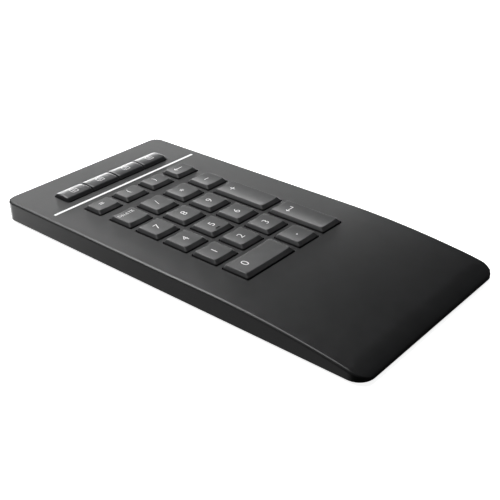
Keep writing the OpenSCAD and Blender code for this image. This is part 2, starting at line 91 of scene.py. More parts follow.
SKIRT_DEPTH = 1.2       # how far each key reaches below the deck
SKIRT_RIM = 0.12
CAP_CORNER_R = 1.0
SIDE_LEAN = 1.05
FRONT_LEAN = 1.9
BACK_LEAN = 0.9
LEAN_Z = 0.5            # above the deck, where a cap's flanks start to lean
CAP_EDGE = 0.25         # size of the rounding along the edges of a cap's top
DISH_DEPTH = 0.35
CAP_WALL = 1.0
CAP_ROOF = 1.2
HOLLOW_R = 0.5          # corners of the hollow in a key
PLUNGER_R = 2.42
PLUNGER_Z = 7.0
FUNCTION_CROWN_R = 22.0
FUNCTION_EDGE = 0.7
FUNCTION_LEAN = (0.25, 0.25, 1.1, 0.4)   # left, right, front, back
FUNCTION_LEAN_Z = 0.2
FUNCTION_ROOF = 1.8
BAR_HALF_X = 1.55       # the raised bar on the 5
BAR_HALF_Y = 0.3
BAR_Y = -3.75
BAR_RISE = 0.3
BAR_CORNER_R = 0.28
BAR_EDGE = 0.24

STROKE_W = 0.4          # of the drawn symbols
ICON_HALF = 2.1
ICON_W = 0.3

LEAD_STEP = 1.17        # from the battery leads' outer side to midway between the two
LEAD_FRONT = 1.5        # the same at the front, where they turn
LEAD_SIDE = 1.1         # and on the right

shell_low, shell_high = box_mm("top_case")
HALF_W = shell_high.x
HALF_L = shell_high.y
BASE_Z = shell_low.z
DECK_Z = shell_high.z
NOSE_TIP_Z = BASE_Z + NOSE_STRIP_H
NOSE_START_Y = NOSE_LEN - HALF_L

CAPS = [name for name in nodes if name.startswith("key_") and name != "key_frame"]
FUNCTION_KEYS = [name for name in nodes if name.startswith("function_key_")]


# ---- mesh making ----
class Builder:
    """Gathers points in millimetres and faces with material numbers, then makes one object."""

    def __init__(self):
        self.points = []
        self.faces = []
        self.inks = []

    def add(self, points):
        """Adds points, and returns their numbers."""
        start = len(self.points)
        self.points += [tuple(p) for p in points]
        return list(range(start, len(self.points)))

    def face(self, corners, ink=0):
        """Adds one face, anticlockwise as seen from outside; ink is its material's number."""
        self.faces.append(tuple(corners))
        self.inks.append(ink)

    def band(self, low, high):
        """Faces between two loops that run anticlockwise; they look outwards when low is below high."""
        count = len(low)
        for i in range(count):
            k = (i + 1) % count
            self.face((low[i], low[k], high[k], high[i]))

    def sheet(self, loops, points, height, keep, ink=None, down=False):
        """A triangulated surface z = height(x, y) through loops and points. Returns each loop's points."""
        flat = []
        edges = []
        for loop in loops:
            start = len(flat)
            flat += [(x, y) for x, y in loop]
            edges += [(start + i, start + (i + 1) % len(loop)) for i in range(len(loop))]
        flat += [(x, y) for x, y in points]
        made, _, faces, sources, _, _ = delaunay_2d_cdt(
            [Vector(p) for p in flat], edges, [], 0, 1e-5, True)
        index = self.add([(p.x, p.y, height(p.x, p.y)) for p in made])
        place = {}
        for i, given in enumerate(sources):
            for source in given:
                place[source] = index[i]
        for corners in faces:
            x = sum(made[i].x for i in corners) / len(corners)
            y = sum(made[i].y for i in corners) / len(corners)
            if keep(x, y):
                order = [index[i] for i in corners]
                if down:
                    order.reverse()
                self.face(order, ink(x, y) if ink else 0)
        found = []
        start = 0
        for loop in loops:
            found.append([place[start + i] for i in range(len(loop))])
            start += len(loop)
        return found

    def post(self, x, y, radius, low, high, sides=24):
        """A closed upright cylinder."""
        ring = [(x + radius * math.cos(a), y + radius * math.sin(a))
                for a in (2 * math.pi * i / sides for i in range(sides))]
        bottom = self.add([(px, py, low) for px, py in ring])
        top = self.add([(px, py, high) for px, py in ring])
        self.band(bottom, top)
        self.face(reversed(bottom))
        self.face(top)

    def make(self, name, materials, sharp=40):
        """The object; edges that turn by more than that many degrees stay sharp."""
        mesh = bpy.data.meshes.new(name)
        mesh.from_pydata([tuple(c * MM for c in p) for p in self.points], [], self.faces)
        assert not mesh.validate(verbose=False), name
        for material in materials:
            mesh.materials.append(material)
        for polygon, ink in zip(mesh.polygons, self.inks):
            polygon.material_index = ink
        mesh.shade_smooth()
        mesh.set_sharp_from_angle(angle=math.radians(sharp))
        piece = bpy.data.objects.new(name, mesh)
        bpy.context.scene.collection.objects.link(piece)
        return piece


def weight_normals(piece):
    """Keeps broad faces flat to the eye beside narrow rounded ones."""
    modifier = piece.modifiers.new("normals", "WEIGHTED_NORMAL")
    modifier.keep_sharp = True
    modifier.weight = 50


def rounded(x0, x1, y0, y1, r, steps=6, spans=(1, 1)):
    """A rounded rectangle, anticlockwise from its right side, with steps per corner and spans per side."""
    corners = [(x1 - r, y1 - r, 0), (x0 + r, y1 - r, 90), (x0 + r, y0 + r, 180), (x1 - r, y0 + r, 270)]
    loop = []
    for k, (cx, cy, start) in enumerate(corners):
        for i in range(steps + 1):
            a = math.radians(start + 90 * i / steps)
            loop.append((cx + r * math.cos(a), cy + r * math.sin(a)))
        nx, ny, turn = corners[(k + 1) % 4]
        a = math.radians(turn)
        end = (nx + r * math.cos(a), ny + r * math.sin(a))
        last = loop[-1]
        count = spans[k % 2]
        for i in range(1, count):
            t = i / count
            loop.append((last[0] + (end[0] - last[0]) * t, last[1] + (end[1] - last[1]) * t))
    return loop


def inside(loop, x, y):
    """Whether a point lies in a loop."""
    odd = False
    x0, y0 = loop[-1]
    for x1, y1 in loop:
        if (y0 > y) != (y1 > y) and x < x0 + (x1 - x0) * (y - y0) / (y1 - y0):
            odd = not odd
        x0, y0 = x1, y1
    return odd


# ---- legends ----
def thinned(loop, amount):
    """A loop moved to its left by a small amount; the ink lies to the left of every outline."""
    moved = []
    for i, (x, y) in enumerate(loop):
        ax, ay = loop[i - 1]
        bx, by = loop[(i + 1) % len(loop)]
        first = Vector((x - ax, y - ay)).normalized()
        second = Vector((bx - x, by - y)).normalized()
        across = first + second
        if across.length < 0.5:
            across = second
        across.normalize()
        reach = amount / max(0.5, across.dot(second))
        moved.append((x - across.y * reach, y + across.x * reach))
    return moved


def glyph(text, thin):
    """The outlines of a short text in the built-in typeface, as loops in em, thinned on both sides."""
    curve = bpy.data.curves.new("legend_outline", "FONT")
    curve.body = text
    curve.resolution_u = 3
    holder = bpy.data.objects.new("legend_outline", curve)
    bpy.context.scene.collection.objects.link(holder)
    bpy.context.view_layer.update()
    shown = holder.evaluated_get(bpy.context.evaluated_depsgraph_get())
    mesh = shown.to_mesh()
    points = [(v.co.x, v.co.y) for v in mesh.vertices]
    follow = {}
    paired = set()
    for polygon in mesh.polygons:
        corners = list(polygon.vertices)
        for a, b in zip(corners, corners[1:] + corners[:1]):
            paired.add((a, b))
    for a, b in sorted(paired):
        if (b, a) not in paired:
            follow[a] = b
    shown.to_mesh_clear()
    bpy.data.objects.remove(holder)
    bpy.data.curves.remove(curve)
    loops = []
    while follow:
        first = min(follow)
        loop = [first]
        at = follow.pop(first)
        while at != first:
            loop.append(at)
            at = follow.pop(at)
        loops.append(thinned([points[i] for i in loop], thin))
    return loops


def lettering(text, x, y, height, stretch=1.0, thin=0.012):
    """A text as one group of loops, centred on x, y, with capitals of that height."""
    loops = glyph(text, thin)
    xs = [p[0] for loop in loops for p in loop]
    ys = [p[1] for loop in loops for p in loop]
    scale = height / (max(ys) - min(ys))
    mid_x = (min(xs) + max(xs)) / 2
    mid_y = (min(ys) + max(ys)) / 2
    return [[[(x + (px - mid_x) * scale * stretch, y + (py - mid_y) * scale) for px, py in loop]
             for loop in loops]]


def stroke(ax, ay, bx, by, width):
    """One straight stroke, as one group."""
    length = math.hypot(bx - ax, by - ay)
    sx = (by - ay) / length * width / 2
    sy = (ax - bx) / length * width / 2
    return [[[(ax + sx, ay + sy), (bx + sx, by + sy), (bx - sx, by - sy), (ax - sx, ay - sy)]]]


def frame_icon(x, y, half, width):
    """The outline of a small rounded square, as one group."""
    outer = rounded(x - half, x + half, y - half, y + half, half * 0.45, 5)
    inner_half = half - width
    inner = rounded(x - inner_half, x + inner_half, y - inner_half, y + inner_half, inner_half * 0.35, 5)
    return [[outer, inner]]


def arrow_left(x, y, length, head, width):
    """An arrow that points left, as three groups."""
    tip = x - length / 2
    return (stroke(tip, y, x + length / 2, y, width)
            + stroke(tip + head, y + head, tip - width * 0.3, y - width * 0.3, width)
            + stroke(tip + head, y - head, tip - width * 0.3, y + width * 0.3, width))


def legend_of(name):
    """The legend of a key, as groups of loops round the key's centre."""
    width = STROKE_W
    digit = name[len("key_"):]
    if digit == "0":
        return lettering("0", -8.9, 1.2, 4.2, 1.15)
    if digit.isdigit():
        return lettering(digit, 0.3, 0.8, 3.9, 1.1)
    if name == "key_equals":
        return stroke(-1.4, 2.2, 1.4, 2.2, width) + stroke(-1.4, 1.0, 1.4, 1.0, width)
    if name == "key_paren_open":
        return lettering("(", 0, 1.3, 4.8, 1.0)
    if name == "key_paren_close":
        return lettering(")", 0, 1.3, 4.8, 1.0)
    if name == "key_backspace":
        return arrow_left(0, 1.6, 5.6, 1.2, width)
    if name == "key_delete":
        return lettering("DELETE", -0.2, 3.7, 1.8, 1.14, 0.01)
    if name == "key_divide":
        return lettering("/", 0.2, 1.0, 4.4, 1.1)
    if name == "key_multiply":
        return lettering("*", 0, 1.2, 2.5, 1.0, 0.0)
    if name == "key_minus":
        return stroke(-1.6, 0.9, 1.6, 0.9, width)
    if name == "key_plus":
        return stroke(-1.6, 10.3, 1.6, 10.3, width) + stroke(0, 8.7, 0, 11.9, width)
    if name == "key_enter":
        tail = 2.7 - width / 2
        return arrow_left(0, 9.3, 5.4, 1.1, width) + stroke(tail, 9.3, tail, 11.2, width)
    return lettering(".", 0, -0.2, 0.9, 1.0)


def inked(groups):
    """A test for whether a point is under a legend."""
    bounds = []
    for loops in groups:
        xs = [p[0] for loop in loops for p in loop]
        ys = [p[1] for loop in loops for p in loop]
        bounds.append((min(xs), max(xs), min(ys), max(ys)))

    def test(x, y):
        for (x0, x1, y0, y1), loops in zip(bounds, groups):
            if x0 < x < x1 and y0 < y < y1:
                if sum(inside(loop, x, y) for loop in loops) % 2:
                    return 1
        return 0

    return test


# ---- housing ----
def deck_at(y):
    """Height of the deck, the palm rest and the rolled front edge at y."""
    z = DECK_Z
    if y < PALM_START_Y:
        z -= PALM_R - math.sqrt(PALM_R ** 2 - (PALM_START_Y - y) ** 2)
    reach = (NOSE_START_Y - y) / NOSE_LEN
    if reach > 0:
        z = NOSE_TIP_Z + (z - NOSE_TIP_Z) * math.sqrt(max(0.0, 1 - reach ** 2))
    return z


def outline(spacing=4.0, steps=10):
    """The housing's plan: points with their outward direction and the centre they turn about."""
    rb, rf = BACK_CORNER_R, FRONT_CORNER_R
    corners = [(HALF_W - rb, HALF_L - rb, rb, 0), (rb - HALF_W, HALF_L - rb, rb, 90),
               (rf - HALF_W, rf - HALF_L, rf, 180), (HALF_W - rf, rf - HALF_L, rf, 270)]
    ends = []
    for cx, cy, r, start in corners:
        ends.append([(cx + r * math.cos(a), cy + r * math.sin(a), math.cos(a), math.sin(a))
                     for a in (math.radians(start + 90 * i / steps) for i in range(steps + 1))])
    points = []
    for k, arc in enumerate(ends):
        points += arc
        ax, ay, nx, ny = arc[-1]
        bx, by = ends[(k + 1) % 4][0][:2]
        count = round(math.hypot(bx - ax, by - ay) / spacing)
        points += [(ax + (bx - ax) * i / count, ay + (by - ay) * i / count, nx, ny) for i in range(1, count)]
    return points


def edge_r_at(point):
    """Rounding of the upper edge at a point of the outline: smaller towards the front."""
    x, y, nx, ny = point
    front = max(0.0, -ny)
    r = EDGE_R + (FRONT_EDGE_R - EDGE_R) * front
    return min(r, 0.35 * (deck_at(y) - BASE_Z))


def spot(x, y):
    """A place in the plan, rounded so that it can be found again."""
    return round(x, 4), round(y, 4)


def in_opening(openings, x, y):
    """Whether a point lies in one of the key openings."""
    for x0, x1, y0, y1, r in openings:
        if x0 < x < x1 and y0 < y < y1 and inside(rounded(x0, x1, y0, y1, r, 6), x, y):
            return True
    return False


def housing_shell(materials):
    """The top housing: deck, palm rest and rolled front in one sheet, with walls and a ceiling under it."""
    build = Builder()
    plan = outline()
    rings = []
    drops = {}      # how far the sheet lies below the deck, at the places where it does
    for inwards, down in EDGE_PROFILE:
        ring = []
        for point in plan:
            x, y, nx, ny = point
            r = edge_r_at(point)
            ring.append((x - nx * r * inwards, y - ny * r * inwards))
            drops[spot(*ring[-1])] = r * down
        rings.append(ring)
    for further in DECK_RINGS:
        rings.append([(x - nx * (edge_r_at((x, y, nx, ny)) + further),
                       y - ny * (edge_r_at((x, y, nx, ny)) + further)) for x, y, nx, ny in plan])

    openings = []
    for name in CAPS:
        low, high = box_mm(name)
        openings.append((low.x - KEY_GAP, high.x + KEY_GAP, low.y - KEY_GAP, high.y + KEY_GAP, OPENING_R))
    low, high = box_mm(FUNCTION_KEYS[0])
    far = box_mm(FUNCTION_KEYS[-1])[1]
    openings.append((low.x - KEY_GAP, far.x + KEY_GAP, low.y - KEY_GAP, high.y + KEY_GAP, FUNCTION_OPENING_R))
    holes = []
    for x0, x1, y0, y1, r in openings:
        for a in (0, 45, 90):
            out = LEAD_IN * (1 - math.cos(math.radians(a)))
            loop = rounded(x0 - out, x1 + out, y0 - out, y1 + out, r + out, 6)
            holes.append(loop)
            for x, y in loop:
                drops[spot(x, y)] = LEAD_IN * (1 - math.sin(math.radians(a)))
    strip_low, strip_high = box_mm("accent_strip")
    groove = []
    for out, drop in ((GROOVE_GAP, GROOVE_EDGE), (GROOVE_GAP + GROOVE_EDGE, 0.0)):
        loop = rounded(strip_low.x - out, strip_high.x + out, strip_low.y - out, strip_high.y + out,
                       GROOVE_R + out - GROOVE_GAP, 6)
        groove.append(loop)
        for x, y in loop:
            drops[spot(x, y)] = drop

    # extra points where the sheet curves: close together on the rolled front, wider apart on the palm rest
    points = []
    reach = HALF_W - PALM_SIDE
    y = -HALF_L + PALM_FRONT
    while y < PALM_START_Y + 4:
        columns, step = (24, 0.8) if y < NOSE_START_Y + 1 else (12, 3.0)
        points += [(-reach + 2 * reach * i / columns, y) for i in range(columns + 1)]
        y += step
    hole_edges = [holes[3 * i] for i in range(len(openings))] + [groove[0]]

    def height(x, y):
        return deck_at(y) - drops.get(spot(x, y), 0.0)

    def solid(x, y):
        if in_opening(openings, x, y):
            return False
        return not (strip_low.x - 1 < x < strip_high.x + 1 and inside(groove[0], x, y))

    loops = build.sheet(rings + holes + groove, points, height, solid)
    outer = loops[0]
    hole_tops = [loops[len(rings) + 3 * i] for i in range(len(openings))]
    groove_top = loops[len(rings) + len(holes)]

    # outside wall, lower lip and inside wall
    lip_top = build.add([(x, y, BASE_Z + LIP) for x, y, nx, ny in plan])
    lip = build.add([(x - nx * LIP, y - ny * LIP, BASE_Z) for x, y, nx, ny in plan])
    foot = build.add([(x - nx * WALL_T, y - ny * WALL_T, BASE_Z) for x, y, nx, ny in plan])
    build.band(lip_top, outer)
    build.band(lip, lip_top)
    build.band(foot, lip)

    def ceiling(x, y):
        return max(deck_at(min(PALM_START_Y, y + WALL_T) if y < PALM_START_Y else y) - DECK_T, BASE_Z + 1.0)

    inner_plan = [(x - nx * WALL_T, y - ny * WALL_T) for x, y, nx, ny in plan]
    under = build.sheet([inner_plan] + hole_edges[:-1], [], ceiling,
                        lambda x, y: not in_opening(openings, x, y), down=True)
    build.band(under[0], foot)
    for top, bottom in zip(hole_tops, under[1:]):
        build.band(top, bottom)
    floor = build.add([(build.points[i][0], build.points[i][1], DECK_Z - GROOVE_DEPTH) for i in groove_top])
    build.band(groove_top, floor)
    build.face(floor)
    return build.make("housing_shell", materials, SHELL_SHARP)


def prism_along_y(name, loop, low_y, high_y):
    """A closed prism with an outline in X and Z, for cutting."""
    build = Builder()
    front = build.add([(x, low_y, z) for x, z in loop])
    back = build.add([(x, high_y, z) for x, z in loop])
    build.band(back, front)
    build.face(reversed(back))
    build.face(front)
    return build.make(name, [])


def cut_away(piece, cutters):
    """Cuts the cutters out of a piece for good, and removes them."""
    for cutter in cutters:
        modifier = piece.modifiers.new("cut", "BOOLEAN")
        modifier.operation = "DIFFERENCE"
        modifier.solver = "EXACT"
        modifier.object = cutter
    bpy.context.view_layer.update()
    shown = piece.evaluated_get(bpy.context.evaluated_depsgraph_get())
    mesh = bpy.data.meshes.new_from_object(shown)
    piece.modifiers.clear()
    piece.data = mesh
    for cutter in cutters:
        bpy.data.objects.remove(cutter)


# ---- keys ----
def cap_mesh(name, sides, top_z, crown, edge, lean, groups, materials, lean_z, roof_z, homing=False):
    """A hollow key cap. sides is (x0, x1, y0, y1) at the skirt, lean how far each leans in by top_z."""
    build = Builder()
    x0, x1, y0, y1 = sides
    spans = (max(6, round((x1 - x0) / 1.2)), max(6, round((y1 - y0) / 1.6)))

    def ring_at(share, inset):
        """A ring where share 0 is the skirt and 1 is the sharp top edge, moved in by inset."""
        return rounded(x0 + lean[0] * share + inset, x1 - lean[1] * share - inset,
                       y0 + lean[2] * share + inset, y1 - lean[3] * share - inset,
                       CAP_CORNER_R, 6, spans)

    skirt_z = DECK_Z - SKIRT_DEPTH
    rise = top_z - lean_z
    rings = [build.add([(x, y, skirt_z) for x, y in ring_at(0, SKIRT_RIM)]),
             build.add([(x, y, skirt_z + SKIRT_RIM) for x, y in ring_at(0, 0)]),
             build.add([(x, y, lean_z - 0.05) for x, y in ring_at(0, 0)]),
             build.add([(x, y, lean_z + 0.05) for x, y in ring_at(0.06, 0)])]
    steps = 5
    for k in range(steps):
        t = k / steps
        down = (1 - t) ** 2 * edge
        loop = ring_at(1 - down / rise, t ** 2 * edge)
        rings.append(build.add([(x, y, crown(x, y) - down) for x, y in loop]))
    for low, high in zip(rings, rings[1:]):
        build.band(low, high)
    top = ring_at(1, edge)
    columns = max(6, round((x1 - x0) / 1.1))
    rows = max(5, round((y1 - y0) / 1.5))
    tx0, tx1 = x0 + lean[0] + edge, x1 - lean[1] - edge
    ty0, ty1 = y0 + lean[2] + edge, y1 - lean[3] - edge
    points = [(tx0 + (tx1 - tx0) * i / columns, ty0 + (ty1 - ty0) * j / rows)
              for i in range(1, columns) for j in range(1, rows)]
    cx, cy = (x0 + x1) / 2, (y0 + y1) / 2
    placed = [[[(cx + px, cy + py) for px, py in loop] for loop in loops] for loops in groups]
    outlines = [loop for loops in placed for loop in loops]
    found = build.sheet([top] + outlines, points, crown, lambda x, y: True, inked(placed))
    build.band(rings[-1], found[0])

    # the hollow underneath
    inner_low = rounded(x0 + CAP_WALL, x1 - CAP_WALL, y0 + CAP_WALL, y1 - CAP_WALL, HOLLOW_R, 6, spans)
    share = (roof_z - lean_z) / rise
    inner_high = rounded(x0 + CAP_WALL + lean[0] * share, x1 - CAP_WALL - lean[1] * share,
                         y0 + CAP_WALL + lean[2] * share, y1 - CAP_WALL - lean[3] * share,
                         HOLLOW_R, 6, spans)
    rim_ring = build.add([(x, y, skirt_z) for x, y in inner_low])
    mid_ring = build.add([(x, y, lean_z) for x, y in inner_low])
    roof_ring = build.add([(x, y, roof_z) for x, y in inner_high])
    build.band(rim_ring, rings[0])
    build.band(mid_ring, rim_ring)
    build.band(roof_ring, mid_ring)
    build.face(reversed(roof_ring))
    build.post(cx, cy, PLUNGER_R, PLUNGER_Z, roof_z + 0.3)
    if homing:
        homing_bar(build, cx, cy, crown)
    piece = build.make(name, materials, 40)
    weight_normals(piece)
    return piece


def homing_bar(build, cx, cy, crown):
    """The raised bar that a finger finds, as a closed rounded ridge."""
    y = cy + BAR_Y
    base_z = crown(cx, y)

    def ring_at(inset, z):
        loop = rounded(cx - BAR_HALF_X + inset, cx + BAR_HALF_X - inset, y - BAR_HALF_Y + inset,
                       y + BAR_HALF_Y - inset, BAR_CORNER_R - inset, 4)
        return build.add([(px, py, z) for px, py in loop])

    rings = [ring_at(0, base_z - BAR_RISE)]
    for k in range(4):
        a = math.pi / 2 * k / 4
        rings.append(ring_at(BAR_EDGE * (1 - math.cos(a)), base_z + BAR_RISE * math.sin(a)))
    for a, b in zip(rings, rings[1:]):
        build.band(a, b)
    build.face(reversed(rings[0]))
    build.face(rings[-1])


def make_cap(name, materials):
    """A key of the number block, with a top that is dished from side to side."""
    low, high = box_mm(name)
    top_half = (high.x - low.x) / 2 - SIDE_LEAN
    cx = (low.x + high.x) / 2
    top_z = high.z

    def crown(x, y):
        return top_z - DISH_DEPTH * max(0.0, 1 - ((x - cx) / top_half) ** 2)

    piece = cap_mesh("cap_" + name[len("key_"):], (low.x, high.x, low.y, high.y), top_z, crown, CAP_EDGE,
                     (SIDE_LEAN, SIDE_LEAN, FRONT_LEAN, BACK_LEAN), legend_of(name), materials,
                     DECK_Z + LEAN_Z, top_z - CAP_ROOF - DISH_DEPTH + 0.15, homing=name == "key_5")
    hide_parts(name)
    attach(piece, name)
    return piece


def make_function_key(name, materials):
    """A bar key of the row behind the white line, with a top that is rounded from front to back."""
    low, high = box_mm(name)
    cy = (low.y + high.y) / 2
    crest = high.z

    def crown(x, y):
        return crest - FUNCTION_CROWN_R + math.sqrt(FUNCTION_CROWN_R ** 2 - (y - cy) ** 2)

    groups = (frame_icon(0, 0.2, ICON_HALF, ICON_W) + stroke(-0.5, 1.3, -0.5, -0.9, ICON_W)
              + stroke(0.5, 1.3, 0.5, -0.9, ICON_W))
    piece = cap_mesh("bar_key_" + name[-1], (low.x, high.x, low.y, high.y), crest, crown, FUNCTION_EDGE,
                     FUNCTION_LEAN, groups, materials, DECK_Z + FUNCTION_LEAN_Z, crest - FUNCTION_ROOF)
    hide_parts(name)
    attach(piece, name)
    return piece


# ---- materials ----
class Nodes:
    """A material's node tree, started with its shader."""

    def __init__(self, name, color, roughness, metallic=0.0):
        self.material = bpy.data.materials.new(name)
        self.material.use_nodes = True
        self.tree = self.material.node_tree
        self.shader = self.tree.nodes["Principled BSDF"]
        self.shader.inputs["Base Color"].default_value = (*color, 1)
        self.shader.inputs["Roughness"].default_value = roughness
        self.shader.inputs["Metallic"].default_value = metallic
        self.coords = self.tree.nodes.new("ShaderNodeTexCoord").outputs["Object"]

    def link(self, a, b):
        """Links an output to an input."""
        self.tree.links.new(a, b)

    def noise(self, size_mm, detail=2.0, stretch=(1, 1, 1)):
        """Noise with features of about that size."""
        mapping = self.tree.nodes.new("ShaderNodeMapping")
        mapping.inputs["Scale"].default_value = stretch
        self.link(self.coords, mapping.inputs["Vector"])
        node = self.tree.nodes.new("ShaderNodeTexNoise")
        node.inputs["Scale"].default_value = 1 / (size_mm * MM)
        node.inputs["Detail"].default_value = detail
        self.link(mapping.outputs["Vector"], node.inputs["Vector"])
        return node.outputs["Fac"]

    def spread(self, value, low, high):
        """Noise between two values."""
        node = self.tree.nodes.new("ShaderNodeMapRange")
        node.inputs["From Min"].default_value = 0.3
        node.inputs["From Max"].default_value = 0.7
        node.inputs["To Min"].default_value = low
        node.inputs["To Max"].default_value = high
        self.link(value, node.inputs["Value"])
        return node.outputs["Result"]

    def tint(self, value, first, second):
        """The base colour wanders between two colours."""
        node = self.tree.nodes.new("ShaderNodeMix")
        node.data_type = "RGBA"
        node.inputs[6].default_value = (*first, 1)
        node.inputs[7].default_value = (*second, 1)
        self.link(self.spread(value, 0, 1), node.inputs[0])
        self.link(node.outputs[2], self.shader.inputs["Base Color"])

    def rough(self, value, low, high):
        """The roughness wanders between two values."""
        self.link(self.spread(value, low, high), self.shader.inputs["Roughness"])

    def relief(self, value, depth_mm, strength=1.0, round_mm=0.0):
        """Fine relief in the surface, over edges that look rounded when round_mm is given."""
        node = self.tree.nodes.new("ShaderNodeBump")
        node.inputs["Strength"].default_value = strength
        node.inputs["Distance"].default_value = depth_mm * MM
        self.link(value, node.inputs["Height"])
        if round_mm:
            bevel = self.tree.nodes.new("ShaderNodeBevel")
            bevel.samples = 4
            bevel.inputs["Radius"].default_value = round_mm * MM
            self.link(bevel.outputs["Normal"], node.inputs["Normal"])
        self.link(node.outputs["Normal"], self.shader.inputs["Normal"])


def lighter(color, factor):
    """A colour times a factor."""
    return tuple(min(1.0, c * factor) for c in color)


def moulded(name, color, roughness, grain_mm=0.35, depth_mm=0.012, vary=0.12, level=0.5, round_mm=0.0):
    """Moulded plastic with a fine eroded texture and slightly uneven sheen."""
    made = Nodes(name, color, roughness)
    made.shader.inputs["Specular IOR Level"].default_value = level
    made.tint(made.noise(9, 3), lighter(color, 1 - vary), lighter(color, 1 + vary))
    made.rough(made.noise(5, 4), roughness * 0.94, roughness * 1.06)
    made.relief(made.noise(grain_mm, 3), depth_mm, 0.6, round_mm)
    return made.material


def metal(name, color, roughness, grain_mm=0.12, stretch=(1, 14, 1), round_mm=0.08):
    """Plated sheet or wire with fine drawn lines."""
    made = Nodes(name, color, roughness, 1.0)
    made.tint(made.noise(3, 3), lighter(color, 0.88), lighter(color, 1.08))
    made.rough(made.noise(grain_mm, 3, stretch), roughness * 0.8, roughness * 1.25)
    made.relief(made.noise(grain_mm, 2, stretch), 0.004, 0.5, round_mm)
    return made.material


def film_material(name, color):
    """Polyester film with printed silver tracks under it."""
    made = Nodes(name, color, 0.22)
    tree = made.tree
    wave = tree.nodes.new("ShaderNodeTexWave")
    wave.inputs["Scale"].default_value = 1 / (12 * MM)
    wave.inputs["Distortion"].default_value = 1.2
    wave.inputs["Detail"].default_value = 1.0
    made.link(made.coords, wave.inputs["Vector"])
    ramp = tree.nodes.new("ShaderNodeValToRGB")
    ramp.color_ramp.interpolation = "CONSTANT"
    ramp.color_ramp.elements[0].color = (*color, 1)
    ramp.color_ramp.elements[1].color = (*lighter(color, 0.55), 1)
    ramp.color_ramp.elements[1].position = 0.86
    made.link(wave.outputs["Fac"], ramp.inputs["Fac"])
    made.link(ramp.outputs["Color"], made.shader.inputs["Base Color"])
    made.rough(made.noise(4, 2), 0.18, 0.28)
    made.relief(made.noise(2, 2), 0.01, 0.4)
    return made.material


def board_material(name):
    """Green solder mask over copper tracks."""
    made = Nodes(name, (0.02, 0.12, 0.06), 0.3)
    tree = made.tree
    cells = tree.nodes.new("ShaderNodeTexVoronoi")
    cells.feature = "DISTANCE_TO_EDGE"
    cells.distance = "MANHATTAN"
    cells.inputs["Scale"].default_value = 1 / (2.2 * MM)
    made.link(made.coords, cells.inputs["Vector"])
    ramp = tree.nodes.new("ShaderNodeValToRGB")
    ramp.color_ramp.elements[0].color = (0.045, 0.2, 0.09, 1)
    ramp.color_ramp.elements[0].position = 0.04
    ramp.color_ramp.elements[1].color = (0.016, 0.1, 0.05, 1)
    ramp.color_ramp.elements[1].position = 0.07
    made.link(cells.outputs["Distance"], ramp.inputs["Fac"])
    made.link(ramp.outputs["Color"], made.shader.inputs["Base Color"])
    made.rough(made.noise(3, 2), 0.26, 0.36)
    made.relief(ramp.outputs["Color"], 0.02, 0.5)
    return made.material


def silicone_material(name):
    """Milky rubber that lets a little light in."""
    made = Nodes(name, (0.72, 0.71, 0.66), 0.45)
    made.shader.inputs["Subsurface Weight"].default_value = 0.3
    made.shader.inputs["Subsurface Scale"].default_value = 1.5 * MM
    made.tint(made.noise(6, 2), (0.7, 0.69, 0.64), (0.77, 0.76, 0.71))
    made.relief(made.noise(0.8, 3), 0.01, 0.5)
    return made.material


def woven_tape(name):
    """Fibre tape with its threads along one side."""
    made = Nodes(name, (0.68, 0.55, 0.3), 0.8)
    made.tint(made.noise(0.5, 4, (1, 3, 1)), (0.58, 0.45, 0.23), (0.74, 0.61, 0.36))
    made.relief(made.noise(0.4, 3, (3, 1, 1)), 0.03, 0.7)
    return made.material


def lead_material(name):
    """Two leads in one part: the inner one red, the one that runs outside it black."""
    low, high = box_mm("battery_leads")
    made = Nodes(name, (0.45, 0.03, 0.025), 0.42)
    split = made.tree.nodes.new("ShaderNodeSeparateXYZ")
    made.link(made.coords, split.inputs["Vector"])

    def math_node(operation, first, second):
        node = made.tree.nodes.new("ShaderNodeMath")
        node.operation = operation
        made.link(first, node.inputs[0])
        if isinstance(second, float):
            node.inputs[1].default_value = second
        else:
            made.link(second, node.inputs[1])
        return node.outputs["Value"]

    left = math_node("LESS_THAN", split.outputs["X"], (low.x + LEAD_STEP) * MM)
    back = math_node("GREATER_THAN", split.outputs["Y"], (high.y - LEAD_STEP) * MM)
    front = math_node("LESS_THAN", split.outputs["Y"], (low.y + LEAD_FRONT) * MM)
    beside = math_node("LESS_THAN", split.outputs["X"], (high.x - LEAD_SIDE) * MM)
    corner = math_node("MULTIPLY", front, beside)
    outer = math_node("MAXIMUM", math_node("MAXIMUM", left, back), corner)
    mix = made.tree.nodes.new("ShaderNodeMix")
    mix.data_type = "RGBA"
    mix.inputs[6].default_value = (0.42, 0.027, 0.022, 1)
    mix.inputs[7].default_value = (0.015, 0.015, 0.016, 1)
    made.link(outer, mix.inputs[0])
    made.link(mix.outputs[2], made.shader.inputs["Base Color"])
    made.rough(made.noise(2, 2), 0.38, 0.48)
    made.relief(made.noise(0.5, 2), 0.01, 0.5)
    return made.material


DECK_BLACK = (0.0105, 0.0107, 0.0112)
CAP_GREY = (0.026, 0.0263, 0.0272)
BAR_GREY = (0.03, 0.0305, 0.032)

shell_plastic = moulded("satin_black_plastic", DECK_BLACK, 0.3, 0.3, 0.0008, level=0.45)
cap_plastic = moulded("keycap_plastic", CAP_GREY, 0.4, 0.25, 0.003, level=0.4)
bar_plastic = moulded("function_key_plastic", BAR_GREY, 0.3, 0.3, 0.001, level=0.45)
legend_ink = moulded("legend_ink", (0.74, 0.74, 0.74), 0.45, 0.2, 0.004, vary=0.03)

